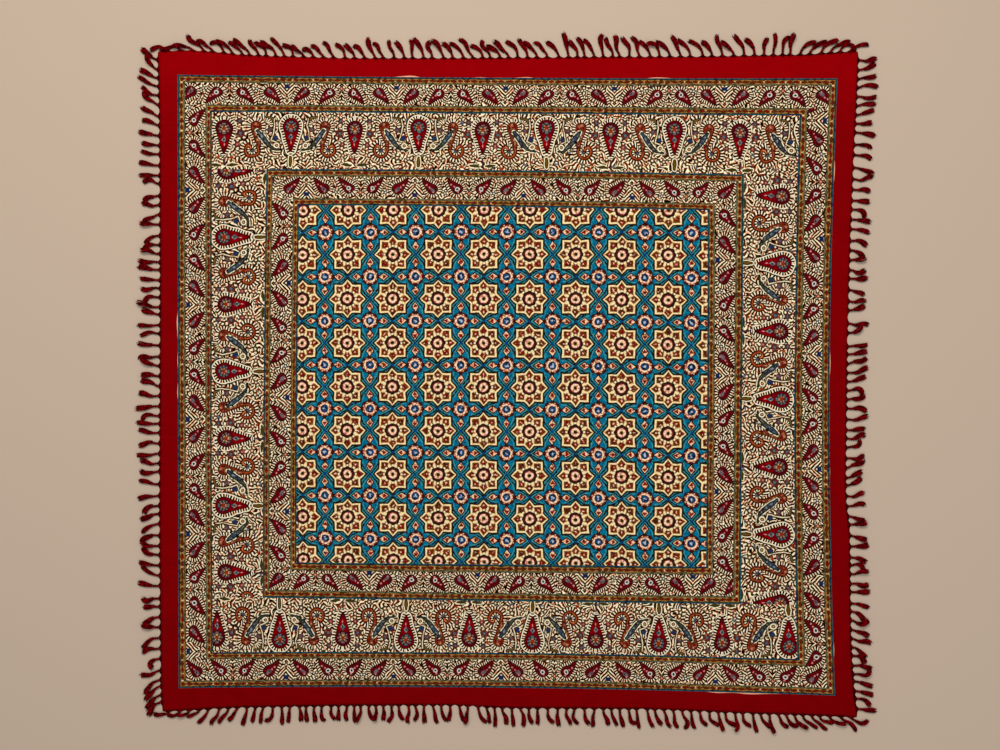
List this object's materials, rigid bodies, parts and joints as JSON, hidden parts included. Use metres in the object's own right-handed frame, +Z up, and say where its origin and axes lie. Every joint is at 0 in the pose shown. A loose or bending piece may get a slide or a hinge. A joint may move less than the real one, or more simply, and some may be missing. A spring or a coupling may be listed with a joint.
{
  "type": "tablecloth",
  "caption": "Square printed cotton tablecloth laid flat, with a star lattice field, paisley borders, a plain red edge and a knotted yarn fringe on its four sides.",
  "frame": {"origin": "centre of the footprint, on the surface that the cloth lies on", "axes": "+X to the right along the front and back sides, +Y to the back side, +Z up off the surface"},
  "size_m": [1.0582, 0.999, 0.0044],
  "materials": {
    "printed_cotton": "block-printed plain-weave cotton, matt",
    "fringe_yarn": "dark red twisted and knotted cotton yarn, matt"
  },
  "bodies": {
    "root": {"cloth": "printed_cotton", "fringe_back": "fringe_yarn", "fringe_front": "fringe_yarn", "fringe_left": "fringe_yarn", "fringe_right": "fringe_yarn"}
  },
  "joints": []
}
